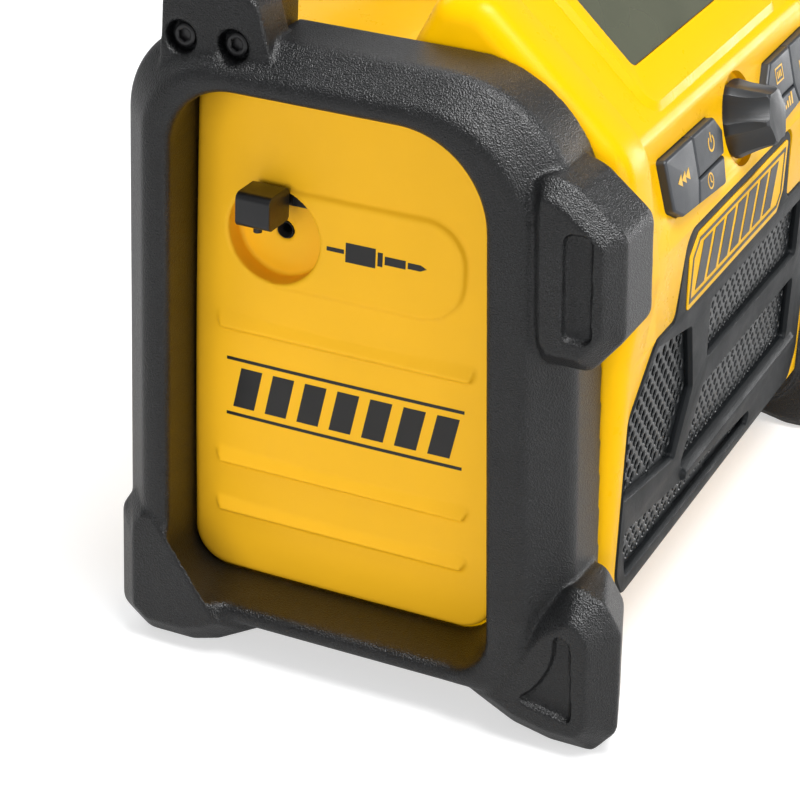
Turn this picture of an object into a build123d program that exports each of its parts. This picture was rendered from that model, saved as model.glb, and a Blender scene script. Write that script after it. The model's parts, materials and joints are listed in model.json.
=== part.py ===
"""Jobsite radio: a moulded housing between two bumper cages, with its works inside.

Millimetres. +X runs from the socket end to the other end, -Y is the front with the
controls, +Z is up. The origin is under the middle of the radio, on the ground.
"""
from build123d import *
import os
from math import atan2, cos, degrees, pi, radians, sin, tan

os.makedirs("parts", exist_ok=True)

# ---- cages ----
length = 312.0            # outer face to outer face of the two end cages
cage_depth = 36.0         # width of one cage along X
cage_foot_y = -78.3       # the front of a cage, carried down to the ground
cage_lean = 3.5           # degrees that the front leans back
cage_rear = 94.0
cage_low = 10.0
cage_high = 229.5
cage_radii = (20.0, 25.0, 32.0, 48.0)     # low front, low rear, top rear, top front
bevel_depth = 12.0        # run of the bevel along X
bevel_front, bevel_rear, bevel_low, bevel_high = 14.0, 12.0, 7.0, 11.0
bevel_radii = (16.0, 20.0, 26.0, 38.0)
mouth_front, mouth_rear, mouth_low, mouth_high = 27.0, 21.0, 11.5, 17.5
mouth_radii = (14.0, 16.0, 24.0, 32.0)
mouth_edge = 3.5          # rounding of the mouth's rim
seat_front, seat_lean, seat_rear = -41.2, 1.5, 77.6      # the mouth where the end panel sits
seat_low = 20.5
seat_radii = (13.0, 14.0, 15.0, 31.0)
bevel_round = 6.0         # softening of the edges on both sides of the bevel
panel_recess = 28.0       # cage face to the edge of the end panel
fit_gap = 0.4             # gap round pieces that drop into one another
guard_out = 87.5          # reach of the upper corner guard in front of the origin
foot_out = 95.5           # reach of the feet to the front
foot_narrow = 7.0         # a foot is this much shorter at its inner side
foot_rear = 95.3
pad_proud = 0.8           # guards and feet stand out past the cage face
guard_bevel, foot_bevel, pad_inner = 6.0, 9.0, 4.0
slot_depth = 2.5

# ---- housing ----
wall = 3.0
split_y = 12.0            # the two housing halves meet here
body_inset = 6.0          # the housing's ends, inside the outline of the cages
front_y = -77.0           # flat front round the grille
control_foot = 158.0      # height where the control face begins
control_lean = 15.0
control_mid = 3.0         # middle of keys and knob, to +X of the middle of the radio
control_rise = 40.0       # length of the control face up its slope
screen_lean = 48.0
screen_rise = 65.0
front_low = 33.0          # bottom edge of the flat front
swell_drop = 32.0         # the shoulders begin to swell this far below the control face
under_run = 24.0          # how far back the underside slopes from that edge
deck_z = cage_high - body_inset             # top of the housing behind the display
deck_y = 8.0              # where the display hump comes down to the deck
hump_back = -4.0
arch_width = 22.0         # raised shoulder beside each cage
arch_swell = 5.0
arch_round = 9.0
post_r, pilot_r, screw_r, head_r = 5.4, 1.3, 1.8, 3.4

# ---- end panels ----
panel_thick = 3.6
panel_crown = 2500.0      # radius of the gentle dome
panel_gap = 0.6
dish_y, dish_z, dish_r, dish_depth = 46.5, 155.0, 17.5, 7.0
badge_z, badge_tall, badge_out = 154.5, 35.0, 0.8
rib_heights = (116.5, 64.0, 44.0)
rib_out, rib_tall, rib_half = 1.6, 9.5, 48.0
panel_mid_y = 19.0

# ---- socket and its cover ----
jack_drop = 14.5          # socket axis below the cover's hinge
jack_bore, jack_long = 1.8, 12.0
flap_width, flap_near, flap_long = 12.6, 4.0, 19.0
flap_in, flap_out = 5.6, 6.5     # the closed cover, inside and outside its hinge
hinge_z, hinge_in = 168.3, 1.0   # hinge height, and its depth behind the panel edge
knuckle_r, flap_pin_r, pin_gap = 2.2, 0.8, 0.05
nub_r, nub_long = 1.5, 2.0

# ---- grille and speakers ----
grille_thick, grille_proud = 4.0, 0.5
baffle_thick = 3.0
grille_inset, grille_low = 12.0, 33.0     # from a cage's inner face to the grille; its bottom edge
hex_inset, hex_wide, hex_gap = 1.8, 68.0, 14.2      # window: left margin, width, gap to the rows
mesh_thick, mesh_margin = 1.4, 2.0
mesh_pitch, mesh_hole = 8.0, 5.2
speaker_in, speaker_drop, speaker_r = 38.0, 31.0, 26.0
row_inset, row_drop, row_tall, row_gap = 20.0, 9.0, 22.5, 11.5     # upper row, and the bar under it
row_low, lip_low, lip_high = 57.5, 38.5, 49.5
lip_right = 42.0
ridge_low, ridge_tall, ridge_proud = 50.5, 6.0, 1.6
plate_inset, plate_drop, plate_tall, plate_thick = 51.0, 33.0, 28.0, 1.4
plate_step, plate_foot = 4.0, 9.0         # the dark frame beside the plate, at its top and its foot

# ---- controls ----
key_top, key_proud, key_gap = 31.0, 3.4, 0.45
key_inset = 36.0          # from a cage's inner face to the outer key
key_seam_u, key_seam_low, key_seam_v = -56.0, -63.0, 15.5     # seams between the three keys of a cluster
switch_inset, board_margin = 12.0, 6.0
key_flange, key_deep = 1.2, 9.0
board_deep, board_thick = 12.0, 1.6
switch_tall = 2.15
knob_v, knob_base_r, knob_tip_r, knob_long = 20.0, 14.4, 10.6, 17.0
knob_skirt, knob_flutes, flute_r, flute_depth = 2.6, 6, 19.0, 1.5
scoop_r, scoop_depth = 17.2, 3.0
shaft_r, shaft_gap = 3.0, 0.05
bush_r, rotor_r = 5.0, 4.2

# ---- display ----
lens_half, lens_low, lens_tall, lens_thick = 61.0, 21.5, 34.5, 1.6
bezel_half, bezel_low, bezel_tall, bezel_proud = 71.0, 4.0, 60.0, 1.8
bezel_slope = 58.0
lens_sunk = 0.8
display_thick = 5.0

# ---- handle ----
handle_y, handle_z = 61.0, 267.0
bar_deep, bar_tall = 20.0, 18.0
grip_half, grip_wall = 62.0, 3.0
arm_thick, arm_low = 14.0, 224.2
tongue_thick, tongue_low = 8.0, 218.0
lug_in, lug_thick, lug_high = 5.0, 17.0, 250.0
handle_screws = ((52.0, 226.5), (71.0, 226.5))

# ---- rear ----
bay_half, bay_low, bay_high, bay_deep, bay_wall = 44.0, 62.0, 152.0, 42.0, 2.5
inlet_inset, inlet_z, inlet_wide, inlet_tall = 38.0, 46.0, 26.0, 17.0
channel_low, channel_depth = 198.0, 12.0
whip_inset, whip_z, whip_long, whip_r = 26.0, 208.0, 168.0, 3.0
whip_base_r, whip_pivot_r = 7.5, 3.0

half = length / 2
wall_x = half - panel_recess - panel_thick  # outside of the housing's end walls
cage_in = half - cage_depth                 # inner face of a cage
lean_slope = tan(radians(cage_lean))
flat_top = control_foot - swell_drop
grille_half = cage_in - grille_inset
speaker_x, speaker_z = grille_half - speaker_in, flat_top - speaker_drop
hex_left = hex_inset - grille_half
row_left, row_right = hex_left + hex_wide + hex_gap, grille_half - row_inset
row_high = flat_top - row_drop
row_middle = row_high - row_tall - row_gap
plate_half, plate_low = grille_half - plate_inset, control_foot - plate_drop
key_out = cage_in - key_inset
whip_x = cage_in - whip_inset
inlet_x = inlet_inset - cage_in

control = Plane(origin=(control_mid, front_y - 1, control_foot), x_dir=(1, 0, 0),
                z_dir=(0, -cos(radians(control_lean)), sin(radians(control_lean))))
screen_foot = control.from_local_coords((-control_mid, control_rise, 0))
screen = Plane(origin=screen_foot, x_dir=(1, 0, 0),
               z_dir=(0, -cos(radians(screen_lean)), sin(radians(screen_lean))))
screen_top = screen.from_local_coords((0, screen_rise, 0))
front = Plane(origin=(0, front_y, 0), x_dir=(1, 0, 0), z_dir=(0, -1, 0))
back_y = cage_rear - body_inset
back = Plane(origin=(0, back_y, 0), x_dir=(-1, 0, 0), z_dir=(0, 1, 0))
baffle_w = -grille_thick - baffle_thick     # inner face of the wall behind the grille
jack_z = hinge_z - jack_drop
hinge_x = -half + panel_recess + hinge_in


# ---------------------------------------------------------------- helpers
def rounded(points, radii):
    """A closed outline through the points, each corner with its own radius."""
    face = make_face(Polyline(*points, close=True))
    for point, radius in zip(points, radii):
        if radius > 0:
            corner = min(face.vertices(), key=lambda v: (Vector(v.X, v.Y) - Vector(*point)).length)
            face = fillet(corner, radius)
    return face


def side(x):
    """The plane across the radio at a station along X, drawn in Y and Z."""
    return Plane.YZ.offset(x)


def leaning(front_in, rear_in, low_in, high_in, radii):
    """The cage outline moved in by a given amount on each side."""
    low, high, rear = cage_low + low_in, cage_high - high_in, cage_rear - rear_in
    foot = cage_foot_y + front_in
    points = ((foot + low * lean_slope, low), (rear, low), (rear, high), (foot + high * lean_slope, high))
    return rounded(points, radii)


def seat_outline(gap=0.0):
    """Where the end panel sits, at the bottom of the mouth."""
    low, high, rear = seat_low + gap, cage_high - mouth_high - gap, seat_rear - gap
    front_in, slope = seat_front + gap, tan(radians(seat_lean))
    points = ((front_in + low * slope, low), (rear, low), (rear, high), (front_in + high * slope, high))
    return rounded(points, tuple(r - gap for r in seat_radii))


def box(x0, x1, y0, y1, z0, z1):
    return Pos((x0 + x1) / 2, (y0 + y1) / 2, (z0 + z1) / 2) * Box(abs(x1 - x0), abs(y1 - y0), abs(z1 - z0))


def block(plane, u0, u1, v0, v1, w0, w1):
    """A box on a plane, from height w0 to w1."""
    return plane * box(u0, u1, v0, v1, w0, w1)


def rod(plane, u, v, radius, w0, w1):
    """A cylinder standing on a plane, from height w0 to w1."""
    low = (Align.CENTER, Align.CENTER, Align.MIN)
    return plane * (Pos(u, v, min(w0, w1)) * Cylinder(radius, abs(w1 - w0), align=low))


def tube(plane, u, v, outer, inner, w0, w1):
    return rod(plane, u, v, outer, w0, w1) - rod(plane, u, v, inner, w0 - 1, w1 + 1)


def slab(plane, outline, w0, w1):
    """An outline drawn on a plane, made solid from height w0 to w1."""
    return extrude(plane.offset(min(w0, w1)) * outline, abs(w1 - w0))


def mirrored(part):
    return mirror(part, Plane.YZ)


def group(parts):
    return Compound(children=[s for p in parts for s in p.solids()])


def screw(plane, u, v, w_head, long, shank, head=head_r):
    """A pan-head screw: its head sits on height w_head and its shank goes down."""
    return rod(plane, u, v, head, w_head, w_head + 1.8) + rod(plane, u, v, shank, w_head - long, w_head)


# ---------------------------------------------------------------- cages
def guard_outline():
    points = ((-60, 141.5), (-77, 141.5), (-guard_out, 155), (2 - guard_out, 189), (-69, 202), (-58, 206),
              (-52, 200), (-55, 150))
    return rounded(points, (0, 5, 6, 7, 8, 8, 0, 0))


def foot_outline(short=0.0):
    reach = foot_out - short
    points = ((-40, 12), (-58, 3), (-72, 0), (8 - reach, 0), (-reach, 10), (1.5 - reach, 48),
              (8 - reach, 58), (-76, 62), (-62, 50))
    return rounded(points, (0, 8, 0, 3, 6, 6, 5, 6, 0))


def rear_foot_outline():
    points = ((40, 12), (56, 3), (66, 0), (84, 0), (foot_rear, 9), (foot_rear, 48), (88, 60), (74, 60))
    return rounded(points, (0, 8, 0, 6, 5, 5, 5, 0))


def pad(outline, inner_outline, bevel):
    """A pad on the cage, bevelled round its outer and its inner face."""
    outer_x, inner_x = -half - pad_proud + bevel, -cage_in - 2 - pad_inner
    body = loft([side(outer_x) * outline, side(inner_x) * inner_outline], ruled=True)
    body += extrude(side(outer_x) * outline, -bevel, taper=45)
    return body + extrude(side(inner_x) * inner_outline, pad_inner, taper=45)


def body_end(grow=0.0):
    """The end of the housing that sits inside a cage."""
    inset = body_inset - grow
    return leaning(inset, inset, inset, inset, tuple(max(r - inset, 6.0) for r in cage_radii))


def cage_screw_places():
    return ((81.8, 60.0), (81.8, 178.0), (-57.0, 62.0), (-51.0, 166.0))


def lug_outline():
    return rounded(((36, 216), (79, 214), (77.5, lug_high - 8), (72, lug_high), (52, lug_high), (43, 241)),
                   (0, 0, 6, 6, 6, 8))


def arm_outline():
    return rounded(((44, arm_low), (78, arm_low), (77, 256), (71, handle_z + 9), (51, handle_z + 9),
                    (44, 256)),
                   (0, 0, 10, 8, 8, 10))


def mouth_void():
    mouth = leaning(mouth_front, mouth_rear, mouth_low, mouth_high, mouth_radii)
    return loft([side(-half) * mouth, side(-wall_x) * seat_outline()], ruled=True)


def cage_ring():
    """The cage before its pads: a bevelled tube frame with soft edges, round the mouth."""
    outer = leaning(0, 0, 0, 0, cage_radii)
    face = leaning(bevel_front, bevel_rear, bevel_low, bevel_high, bevel_radii)
    ring = loft([side(-half) * face, side(-half + bevel_depth) * outer], ruled=True)
    ring += slab(side(-half + bevel_depth), outer, 0, cage_depth - bevel_depth)
    knees = [e for e in ring.edges()
             if abs(e.bounding_box().size.X) < 0.01 and e.center().X < -half + bevel_depth + 1]
    ring = fillet(knees, bevel_round)
    ring -= mouth_void()
    rim = [e for e in ring.edges().filter_by_position(Axis.X, -half - 0.01, -half + 0.01)
           if e.center().Z < cage_high - mouth_high + 1 and -52 < e.center().Y < cage_rear - mouth_rear + 1
           and e.center().Z > cage_low + mouth_low - 1]
    return fillet(rim, mouth_edge)


def roll_cage():
    cage = cage_ring()
    cage += pad(guard_outline(), guard_outline(), guard_bevel)
    cage += pad(foot_outline(), foot_outline(foot_narrow), foot_bevel)
    cage += pad(rear_foot_outline(), rear_foot_outline(), foot_bevel)
    cage += slab(side(-half + lug_in), lug_outline(), 0, lug_thick)
    cage -= mouth_void()
    cage -= slab(side(-wall_x), body_end(fit_gap), 0, cage_depth)
    joint_x = -half + lug_in + lug_thick
    cage -= box(joint_x, -cage_in + 1, 43.7, 78.3, arm_low - 0.3, 300)
    cage -= box(joint_x, joint_x + tongue_thick + 0.3, 43.7, 78.3, tongue_low - 0.3, 300)
    slot = Pos(-72.2, 171) * (Rot(0, 0, 87) * RectangleRounded(36, 9.6, 2.5))
    cage -= slab(side(-half - pad_proud), slot, 0, slot_depth)
    web = make_face([ThreePointArc((-61, 18), (-70, 28), (-73, 47)), Line((-73, 47), (-79, 44.5)),
                     Line((-79, 44.5), (-81.5, 14)), Line((-81.5, 14), (-61, 18))])
    cage -= slab(side(-half - pad_proud), fillet(web.vertices(), 1.5), 0, slot_depth)
    for y, z in handle_screws:
        cage -= rod(side(-half), y, z, 5.6, 0, 11)
        cage -= rod(side(-half), y, z, screw_r, 0, 30)
    for y, z in cage_screw_places():
        cage -= rod(side(-wall_x), y, z, pilot_r, -12, 1)
    return cage


# ---------------------------------------------------------------- housing
def hump(swell, inset=0.0):
    """Section of the body from the front over the controls and display to the deck."""
    c0, c1, top = control.origin, screen_foot, screen_top
    points = (
        (front_y, front_low), (front_y, flat_top), (c0.Y - swell * 0.5, control_foot - 0.4 * swell),
        (c1.Y - swell * 0.9, c1.Z + swell * 0.6), (top.Y - swell * 0.2, top.Z + swell),
        (hump_back, top.Z + swell), (deck_y, deck_z - 3), (deck_y, front_low),
    )
    face = rounded(points, (0, 60 if swell else 0, 14, 26, 13, 11, 0, 0))
    return offset(face, -inset) if inset else face


def housing_form():
    form = slab(side(-wall_x), body_end(), 0, 2 * wall_x)
    arch_x = cage_in - 0.5
    shoulder = slab(side(-arch_x), hump(arch_swell), 0, 2 * arch_x)
    rims = [e for f in shoulder.faces().filter_by(Axis.X) for e in f.edges()
            if e.center().Z > 120 and e.center().Y < 6]
    return form + fillet(rims, arch_round) - under_cut(0)


def under_cut(inset):
    """Takes the low front corner off the body, back to a slope under the flat front."""
    low = cage_low + body_inset
    points = ((front_y - 30, front_low + inset), (front_y, front_low + inset),
              (front_y + under_run + inset, low + inset), (front_y + under_run, low - 30),
              (front_y - 30, low - 30))
    reach = cage_in - 2 + inset
    return slab(side(-reach), make_face(Polyline(*points, close=True)), 0, 2 * reach)


def control_cut():
    """Takes the middle down from the shoulders to the control face and the display face."""
    inner = cage_in - arch_width
    c0, c1, top = control.origin, screen_foot, screen_top
    points = ((c0.Y - 30, flat_top), (front_y, flat_top), (c0.Y, control_foot), (c1.Y, c1.Z), (top.Y, top.Z),
              (deck_y + 20, top.Z), (deck_y + 20, top.Z + 30), (c0.Y - 30, top.Z + 30))
    return slab(side(-inner), rounded(points, (0, 0, 0, 10, 6, 0, 0, 0)), 0, 2 * inner)


def cavity():
    form = slab(side(-wall_x + wall), body_end(-wall), 0, 2 * (wall_x - wall))
    reach = cage_in - arch_round + 1
    form += slab(side(-reach), hump(0, wall), 0, 2 * reach)
    form -= under_cut(wall)
    return form - block(front, -grille_half - 4, grille_half + 4, 0, control_foot - 2, baffle_w, 0)


def bay_block(grow):
    return box(-bay_half - grow, bay_half + grow, back_y - bay_deep - grow, back_y + 20,
               bay_low - grow, bay_high + grow)


def channel_block(grow):
    return box(-cage_in + 2, cage_in - 2, back_y - channel_depth - grow, back_y + 20,
               channel_low - grow, 260)


def post_places():
    x = grille_half
    return ((-x, 34.0), (0.0, 34.0), (x, 34.0), (-x, 186.0), (x, 186.0))


def housing():
    hollow = cavity() - bay_block(bay_wall) - channel_block(wall)
    for x, z in post_places():
        hollow -= rod(back, -x, z, post_r, front_y - back_y + 7, 0)
    shell = housing_form() - control_cut() - hollow - bay_block(0) - channel_block(0)
    for s in (-1, 1):
        end = side(s * wall_x)
        for y, z in cage_screw_places():
            shell -= rod(end, y, z, screw_r, -8, 8)
    shell -= rod(side(-wall_x), dish_y, dish_z, dish_r + 2 + fit_gap, -1, 8)
    return shell


def key_cluster(grow=0.0):
    """The three left keys together, on the control face."""
    points = ((-key_out, key_top), (-33, key_top - 0.5), (-26.5, 24), (-31, 5.5), (9 - key_out, 8.5),
              (1 - key_out, 13))
    face = rounded(points, (1.5, 1.5, 2, 1.5, 2, 2))
    return offset(face, grow) if grow else face


def lens_outline(grow=0.0):
    middle = lens_low + lens_tall / 2
    return Pos(0, middle) * RectangleRounded(2 * (lens_half + grow), lens_tall + 2 * grow, 2.5)


def front_housing():
    part = housing() & box(-half, half, -200, split_y, -10, 400)
    part += rod(control, 0, knob_v, scoop_r + 2.5, -scoop_depth - wall, -scoop_depth + 1)
    part -= slab(front, grille_outline(fit_gap), -grille_thick, 10)
    foot_u = grille_half - 14
    part -= block(front, -foot_u, foot_u, front_low - 10, front_low + 5, -grille_thick, 10)
    for s in (-1, 1):
        part -= rod(front, s * speaker_x, speaker_z, speaker_r, -30, 10)
    for keys in (key_cluster(key_gap), mirror(key_cluster(key_gap), Plane.YZ)):
        part -= slab(control, keys, -20, 20)
    part -= rod(control, 0, knob_v, scoop_r, -scoop_depth, 20)
    part -= rod(control, 0, knob_v, bush_r + 0.2, -20, 0)
    bezel = Pos(0, bezel_low + bezel_tall / 2) * RectangleRounded(2 * bezel_half, bezel_tall, 9)
    part += slab(screen, bezel, -1, 0) + extrude(screen * bezel, bezel_proud, taper=bezel_slope)
    part -= slab(screen, lens_outline(0.3), bezel_proud - lens_sunk - lens_thick, 10)
    part -= slab(screen, lens_outline(-2.5), -12, 10)
    for x, z in post_places():
        part -= rod(back, -x, z, pilot_r, split_y - back_y - 14, 0)
    part += board_posts()
    return part


def rear_housing():
    part = housing() & box(-half, half, split_y, 200, -10, 400)
    for x, z in post_places():
        part -= rod(back, -x, z, screw_r, -120, 10)
        part -= rod(back, -x, z, head_r + 0.4, -20, 10)
    part -= block(back, -inlet_x - inlet_wide / 2, -inlet_x + inlet_wide / 2,
                  inlet_z - inlet_tall / 2, inlet_z + inlet_tall / 2, -10, 10)
    part -= rod(back, -whip_x, whip_z, whip_pivot_r + 0.05, -40, 0)
    return part


# ---------------------------------------------------------------- end panels
def end_panel(with_socket):
    skin = side(-wall_x)
    proud = 4.0
    blank = slab(skin, seat_outline(panel_gap), -panel_thick - proud, 0)
    middle_z = (cage_low + cage_high) / 2
    dome = Pos(-wall_x - panel_thick - 2 + panel_crown, panel_mid_y, middle_z) * Sphere(panel_crown)
    panel = blank & dome
    rim = panel.faces().sort_by(Axis.X)[0].edges()
    panel = fillet(rim, 2.5)
    for height in rib_heights:
        surface = -panel_thick - 2 + (height - middle_z) ** 2 / (2 * panel_crown)
        wedge = make_face(Polyline((surface + 1.2, height + rib_tall), (surface - rib_out, height + 1),
                                   (surface + 2.2, height), close=True))
        rib = extrude(Plane.XZ.offset(-panel_mid_y - rib_half) * (Pos(-wall_x, 0) * wedge), 2 * rib_half)
        keep = Pos(panel_mid_y, height + rib_tall / 2) * RectangleRounded(2 * rib_half, rib_tall + 2, 5)
        panel += rib & slab(skin, keep, surface - 5, 0)
    surface = -panel_thick - 2
    badge = Pos(panel_mid_y - 2, badge_z) * RectangleRounded(82, badge_tall, 15)
    panel += slab(skin, badge, surface - badge_out, -1)
    if with_socket:
        floor = -panel_thick + dish_depth
        panel += rod(skin, dish_y, dish_z, dish_r + 2, -panel_thick, floor + 1.6)
        panel -= rod(skin, dish_y, dish_z, dish_r, surface - 5, floor)
        panel -= rod(skin, dish_y, jack_z, 3.2, 0, floor + 5)
    return panel


# ---------------------------------------------------------------- socket and cover
def aux_jack():
    floor_x = -half + panel_recess + dish_depth
    body = box(floor_x + 1.6, floor_x + 1.6 + 15, dish_y - 5.5, dish_y + 5.5, jack_z - 5, jack_z + 5)
    body += rod(side(floor_x), dish_y, jack_z, 3.0, 0.2, 3)
    body -= rod(side(floor_x), dish_y, jack_z, jack_bore, 0, jack_long + 2.2)
    mouth = side(floor_x) * (Pos(dish_y, jack_z, 1.2) * Cone(2.8, jack_bore, 2.0))
    return body - mouth


def knuckle(y0, y1):
    return Pos(hinge_x, (y0 + y1) / 2, hinge_z) * (Rot(90, 0, 0) * Cylinder(knuckle_r, y1 - y0))


def hinge_bore():
    return Pos(hinge_x, dish_y, hinge_z) * (Rot(90, 0, 0) * Cylinder(flap_pin_r + pin_gap, 40))


def aux_anchor():
    """The fixed end of the socket cover: it fills the top of the dish."""
    floor_x = -half + panel_recess + dish_depth
    lump = slab(side(floor_x), Pos(dish_y, dish_z) * Circle(dish_r - 0.3), -dish_depth, 0)
    lump &= box(-half, 0, 0, 100, hinge_z - 1.9, 200)
    ear = flap_width / 2
    for s in (-1, 1):
        y0, y1 = sorted((dish_y + s * (ear - 2.4), dish_y + s * ear))
        lump += knuckle(y0, y1) + box(hinge_x, floor_x - 3, y0, y1, hinge_z - knuckle_r, hinge_z + 1.2)
    clear = Cylinder(knuckle_r + 0.35, flap_width - 4.8 + 0.6)
    clear = Pos(hinge_x, dish_y, hinge_z) * (Rot(90, 0, 0) * clear)
    return lump - clear - hinge_bore()


def aux_cover():
    """The moving end, drawn open: it points out of the panel."""
    inner = flap_width / 2 - 2.4 - 0.3
    plan = rounded(((-flap_near, -flap_in), (-flap_long, -flap_in), (-flap_long, flap_out),
                    (-flap_near, flap_out)),
                   (1.5, 2.5, 2.5, 3))
    lump = extrude(Plane.XZ.offset(-dish_y - flap_width / 2) * (Pos(hinge_x, hinge_z) * plan), flap_width)
    lump += knuckle(dish_y - inner, dish_y + inner)
    lump += box(hinge_x - flap_near - 2, hinge_x, dish_y - inner, dish_y + inner,
                hinge_z - 1.6, hinge_z + 1.6)
    nub = Pos(hinge_x - jack_drop, dish_y, hinge_z - flap_in - nub_long / 2) * Cylinder(nub_r, nub_long + 0.4)
    return lump + nub - hinge_bore()


def aux_hinge_pin():
    return Pos(hinge_x, dish_y, hinge_z) * (Rot(90, 0, 0) * Cylinder(flap_pin_r, flap_width - 0.4))


# ---------------------------------------------------------------- grille
def grille_outline(grow=0.0):
    top = control_foot - 1
    side_u, foot_u, head_u = grille_half, grille_half - 8, grille_half - 22
    frame_foot, frame_top = plate_half + plate_foot, plate_half + plate_step
    low, high = grille_low + 11, flat_top - 20
    points = ((-foot_u, grille_low), (foot_u, grille_low), (side_u, low), (side_u, high), (head_u, flat_top),
              (frame_foot, flat_top), (frame_top, top), (-frame_top, top), (-frame_foot, flat_top),
              (-head_u, flat_top), (-side_u, high), (-side_u, low))
    face = rounded(points, (6, 6, 10, 8, 8, 4, 8, 8, 4, 8, 8, 10))
    return offset(face, grow) if grow else face


def hex_opening():
    left, high = hex_left, flat_top - 4.5
    points = ((left + 60, high - 6.5), (left + 24, high), (left, high - 16.5), (left, 74.5),
              (left + 54, 66.5), (left + hex_wide, 88.5))
    return rounded(points, (2,) * 6)


def row_opening(low, high, left_low, left_high):
    points = ((left_low, low), (row_right, low), (row_right, high), (left_high, high))
    return rounded(points, (2, 2, 2, 2))


def row_openings():
    left = 4.5 - grille_half
    points = ((left + 6, lip_low + 2), (lip_right, lip_low), (lip_right + 2, lip_low + 4),
              (row_left - 10, lip_high), (left, lip_high + 10))
    return [row_opening(row_high - row_tall, row_high, row_left + 2, row_left),
            row_opening(row_low, row_middle, row_left - 20, row_left), rounded(points, (3, 1.5, 1.5, 2, 3))]


def plate_outline(grow=0.0):
    points = ((-plate_half + 2, plate_low), (plate_half - 6, plate_low), (plate_half, plate_low + 7),
              (plate_half, plate_low + plate_tall), (-plate_half + 8, plate_low + plate_tall),
              (-plate_half, plate_low + plate_tall - 7))
    face = rounded(points, (2, 2, 2, 2, 2, 2))
    return offset(face, grow) if grow else face


def speaker_grille():
    part = slab(front, grille_outline(), -grille_thick, grille_proud - 1.2)
    part += extrude(front.offset(grille_proud - 1.2) * grille_outline(), 1.2, taper=40)
    ridge = RectangleRounded(row_right - row_left + 28, ridge_tall, 2.8)
    ridge = Pos((row_left + row_right - 8) / 2, ridge_low + ridge_tall / 2) * ridge
    ridge = front.offset(grille_proud) * ridge
    part += extrude(ridge, -1) + extrude(ridge, ridge_proud, taper=45)
    for opening in (hex_opening(), *row_openings()):
        part -= slab(front, opening, -grille_thick + mesh_thick, 0)
        part -= extrude(front.offset(-1.0) * opening, 2.0, taper=-35)
        pocket = offset(opening, mesh_margin)
        part -= slab(front, pocket, -grille_thick - 1, -grille_thick + mesh_thick + 0.05)
    part -= slab(front, plate_outline(0.2), grille_proud - 1.0, 5)
    return part


def perforated(outline, pitch=mesh_pitch, hole=mesh_hole):
    """A sheet behind an opening, with diamond holes where they fall inside it."""
    sheet = slab(front, offset(outline, mesh_margin - fit_gap), -grille_thick, -grille_thick + mesh_thick)
    span = outline.bounding_box()
    inside = offset(outline, -hole * 0.45)
    holes = []
    for row in range(int(span.size.Y / (pitch / 2)) + 1):
        for column in range(int(span.size.X / pitch) + 1):
            u = span.min.X + (column + 0.5 * (row % 2)) * pitch
            v = span.min.Y + row * pitch / 2
            if inside.is_inside(Vector(u, v)):
                holes.append(Pos(u, v) * RegularPolygon(hole / 2, 4))
    cutter = [slab(front, h, -grille_thick - 1, 0) for h in holes]
    return sheet - cutter


def name_plate():
    return slab(front, plate_outline(), grille_proud - 1.0, grille_proud - 1.0 + plate_thick)


# ---------------------------------------------------------------- speakers
def turned(*points):
    """A ring turned round the local Z axis from its half section."""
    return revolve(Plane.XZ * make_face(Polyline(*points, close=True)), Axis.Z)


def speaker_place(x):
    """Where a drive unit hangs, behind the baffle: heights run forward from the baffle's inner face."""
    return Plane(origin=front.from_local_coords((x, speaker_z, baffle_w)), x_dir=(1, 0, 0), z_dir=(0, -1, 0))


def speaker_frame():
    r = speaker_r
    frame = turned((r - 1, 0), (r + 5, 0), (r + 5, -2), (r, -2), (18, -17), (11, -17), (11, -15.6),
                   (17, -15.6), (r - 1, -2))
    for turn in range(4):
        frame -= Rot(0, 0, 90 * turn) * box(-7, 7, 12, 30, -14, -4)
    return frame


def speaker_magnet():
    return turned((0, -17), (19, -17), (19, -29), (0, -29))


def speaker_cone():
    r = speaker_r - 5
    return turned((r, -1.4), (r, -2.2), (8, -11), (0, -11), (0, -10.4), (8, -10.2))


def speaker_surround():
    r = speaker_r
    return turned((r - 4.8, -2.2), (r - 4.8, -1.2), (r - 3, 0.6), (r - 1.2, -1.2), (r - 1.2, -2.2),
                  (r - 3, -0.2))


def speaker_dust_cap():
    return turned((0, -10), (7.4, -10), (5, -8.4), (2.5, -7.8), (0, -7.6))


def speaker_screws():
    angles = (pi / 4, 3 * pi / 4, 5 * pi / 4, 7 * pi / 4)
    ring = speaker_r + 2.6
    return group(speaker_place(x) * rod(Plane.XY, ring * cos(a), ring * sin(a), 1.5, -3.6, -2)
                 for x in (-speaker_x, speaker_x) for a in angles)


# ---------------------------------------------------------------- controls
def key_region(name):
    """The part of the cluster that one key takes."""
    meet, foot = (key_seam_u, key_seam_v), (key_seam_low, 0)
    far = -key_out - 16
    points = {"seek_down_key": ((far, 0), foot, meet, (key_seam_u, 50), (far, 50)),
              "power_key": (meet, (0, key_seam_v), (0, 50), (key_seam_u, 50)),
              "clock_key": (foot, (0, 0), (0, key_seam_v), meet)}[name]
    return offset(make_face(Polyline(*points, close=True)), -key_gap / 2)


def key(name):
    """One key of the left cluster; the right cluster is its mirror image."""
    cap = slab(control, key_cluster() & key_region(name), -key_deep, key_proud)
    top = cap.faces().sort_by(Axis((0, 0, 0), control.z_dir))[-1]
    cap = chamfer(top.edges(), 0.7)
    return cap + slab(control, key_cluster(key_flange) & key_region(name), -wall - 1.4, -wall - 0.1)


def switch_places():
    outer = key_out - switch_inset
    return ((-outer, 21), (-45, 24), (-45, 12), (outer, 21), (45, 24), (45, 12))


def control_board():
    reach = key_out + board_margin
    board = block(control, -reach, reach, 0, 36, -board_deep - board_thick, -board_deep)
    for u, v in ((4 - reach, 4), (reach - 4, 4), (4 - reach, 32), (reach - 4, 32)):
        board -= rod(control, u, v, 1.2, -20, 0)
    return board


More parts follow.
